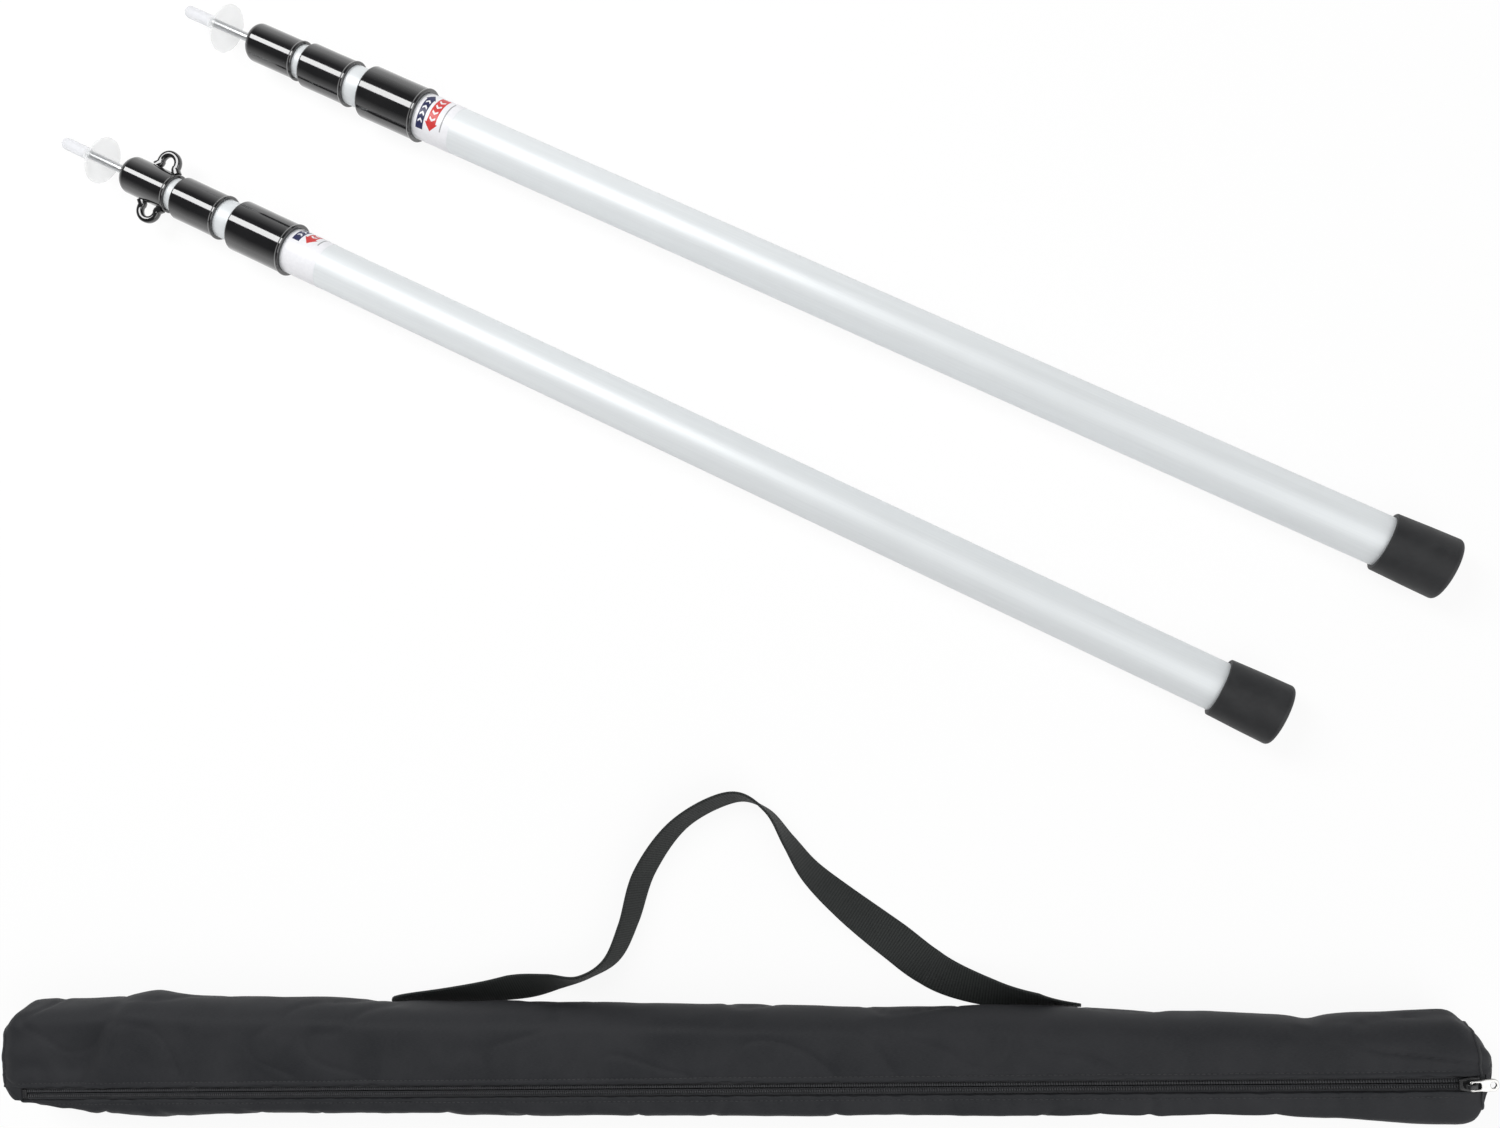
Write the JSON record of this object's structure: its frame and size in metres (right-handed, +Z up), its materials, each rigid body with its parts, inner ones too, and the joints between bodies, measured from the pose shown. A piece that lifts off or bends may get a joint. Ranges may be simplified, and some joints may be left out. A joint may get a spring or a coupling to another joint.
{
  "type": "telescopic pole set",
  "caption": "Telescopic twist-lock tarp poles with rubber feet, covered spikes and guy loops, with a long zipped carry bag and webbing strap.",
  "frame": {"origin": "middle of the set's box on the ground", "axes": "+X along the bag toward its zip slider, +Y from the bag toward the poles, +Z up from the ground"},
  "size_m": [0.9858, 0.7744, 0.0526],
  "materials": {
    "anodised_tube": "satin anodised",
    "black_rubber": "matte",
    "black_vinyl": "glossy, soft",
    "white_nylon": "matte",
    "natural_nylon": "matte",
    "dark_nylon": "matte",
    "steel": "zinc plated",
    "clear_cover": "translucent frosted",
    "label_film": "printed film",
    "bag_cloth": "woven polyester",
    "zip_tape": "woven tape",
    "zip_coil": "nylon coil",
    "zip_metal": "nickel plated",
    "strap_webbing": "ribbed webbing"
  },
  "bodies": {
    "set": {"front_foot": "black_rubber", "front_outer_tube": "anodised_tube", "front_outer_collar": "black_vinyl", "front_outer_bush": "white_nylon", "front_lock_label": "label_film", "rear_foot": "black_rubber", "rear_outer_tube": "anodised_tube", "rear_outer_collar": "black_vinyl", "rear_outer_bush": "white_nylon", "rear_lock_label": "label_film", "bag_panel": "bag_cloth", "bag_left_end": "bag_cloth", "bag_right_end": "bag_cloth", "zip_rear_tape": "zip_tape", "zip_front_tape": "zip_tape", "zip_rear_teeth": "zip_coil", "zip_front_teeth": "zip_coil", "zip_stops": "zip_metal", "carry_strap": "strap_webbing"},
    "front_mid_lock": {"front_mid_expander": "natural_nylon"},
    "front_mid_section": {"front_mid_tube": "anodised_tube", "front_mid_collar": "black_vinyl", "front_mid_bush": "white_nylon", "front_mid_plug": "dark_nylon", "front_mid_stud": "steel"},
    "front_mid_nut": {"front_mid_wedge": "dark_nylon"},
    "front_inner_lock": {"front_inner_expander": "natural_nylon"},
    "front_inner_section": {"front_inner_tube": "anodised_tube", "front_inner_plug": "dark_nylon", "front_inner_stud": "steel", "front_top_cap": "black_vinyl", "front_spike": "steel"},
    "front_inner_nut": {"front_inner_wedge": "dark_nylon"},
    "front_cover": {"front_spike_cover": "clear_cover"},
    "rear_mid_lock": {"rear_mid_expander": "natural_nylon"},
    "rear_mid_section": {"rear_mid_tube": "anodised_tube", "rear_mid_collar": "black_vinyl", "rear_mid_bush": "white_nylon", "rear_mid_plug": "dark_nylon", "rear_mid_stud": "steel"},
    "rear_mid_nut": {"rear_mid_wedge": "dark_nylon"},
    "rear_inner_lock": {"rear_inner_expander": "natural_nylon"},
    "rear_inner_section": {"rear_inner_tube": "anodised_tube", "rear_inner_plug": "dark_nylon", "rear_inner_stud": "steel", "rear_top_cap": "black_vinyl", "rear_spike": "steel"},
    "rear_inner_nut": {"rear_inner_wedge": "dark_nylon"},
    "rear_cover": {"rear_spike_cover": "clear_cover"},
    "zip_runner": {"zip_slider": "zip_metal"},
    "zip_tab": {"zip_pull": "zip_metal"}
  },
  "joints": [
    {"name": "front_mid_slide", "type": "slide", "parent": "set", "child": "front_mid_lock", "axis": [-0.8746, 0.4848, 0], "range_m": [0, 0.6]},
    {"name": "front_mid_twist", "type": "hinge", "parent": "front_mid_lock", "child": "front_mid_section", "pos_m": [0.35706, -0.13314, 0.0198], "axis": [-0.8746, 0.4848, 0], "range_deg": [0, 180]},
    {"name": "front_mid_nut_travel", "type": "slide", "parent": "front_mid_lock", "child": "front_mid_nut", "axis": [-0.8746, 0.4848, 0], "range_m": [0, 0.001]},
    {"name": "front_inner_slide", "type": "slide", "parent": "front_mid_section", "child": "front_inner_lock", "axis": [-0.8746, 0.4848, 0], "range_m": [0, 0.58]},
    {"name": "front_inner_twist", "type": "hinge", "parent": "front_inner_lock", "child": "front_inner_section", "pos_m": [0.30458, -0.10405, 0.0198], "axis": [-0.8746, 0.4848, 0], "range_deg": [0, 180]},
    {"name": "front_inner_nut_travel", "type": "slide", "parent": "front_inner_lock", "child": "front_inner_nut", "axis": [-0.8746, 0.4848, 0], "range_m": [0, 0.001]},
    {"name": "front_cover_pull", "type": "slide", "parent": "front_inner_section", "child": "front_cover", "axis": [-0.8746, 0.4848, 0], "range_m": [0, 0.04]},
    {"name": "rear_mid_slide", "type": "slide", "parent": "set", "child": "rear_mid_lock", "axis": [-0.8746, 0.4848, 0], "range_m": [0, 0.6]},
    {"name": "rear_mid_twist", "type": "hinge", "parent": "rear_mid_lock", "child": "rear_mid_section", "pos_m": [0.45819, -0.04971, 0.0198], "axis": [-0.8746, 0.4848, 0], "range_deg": [0, 180]},
    {"name": "rear_mid_nut_travel", "type": "slide", "parent": "rear_mid_lock", "child": "rear_mid_nut", "axis": [-0.8746, 0.4848, 0], "range_m": [0, 0.001]},
    {"name": "rear_inner_slide", "type": "slide", "parent": "rear_mid_section", "child": "rear_inner_lock", "axis": [-0.8746, 0.4848, 0], "range_m": [0, 0.58]},
    {"name": "rear_inner_twist", "type": "hinge", "parent": "rear_inner_lock", "child": "rear_inner_section", "pos_m": [0.40571, -0.02062, 0.0198], "axis": [-0.8746, 0.4848, 0], "range_deg": [0, 180]},
    {"name": "rear_inner_nut_travel", "type": "slide", "parent": "rear_inner_lock", "child": "rear_inner_nut", "axis": [-0.8746, 0.4848, 0], "range_m": [0, 0.001]},
    {"name": "rear_cover_pull", "type": "slide", "parent": "rear_inner_section", "child": "rear_cover", "axis": [-0.8746, 0.4848, 0], "range_m": [0, 0.04]},
    {"name": "zip_slide", "type": "slide", "parent": "set", "child": "zip_runner", "axis": [-0.9999, -0.0105, 0], "range_m": [0, 0.925]},
    {"name": "zip_tab_swing", "type": "hinge", "parent": "zip_runner", "child": "zip_tab", "pos_m": [0.46725, -0.36074, 0.05065], "axis": [0.0105, -0.9999, 0], "range_deg": [0, 200]}
  ],
  "couplings": [
    {"joint": "front_mid_nut_travel", "follows": "front_mid_twist", "m_per_rad": 0.000318},
    {"joint": "front_inner_nut_travel", "follows": "front_inner_twist", "m_per_rad": 0.000318},
    {"joint": "rear_mid_nut_travel", "follows": "rear_mid_twist", "m_per_rad": 0.000318},
    {"joint": "rear_inner_nut_travel", "follows": "rear_inner_twist", "m_per_rad": 0.000318}
  ]
}
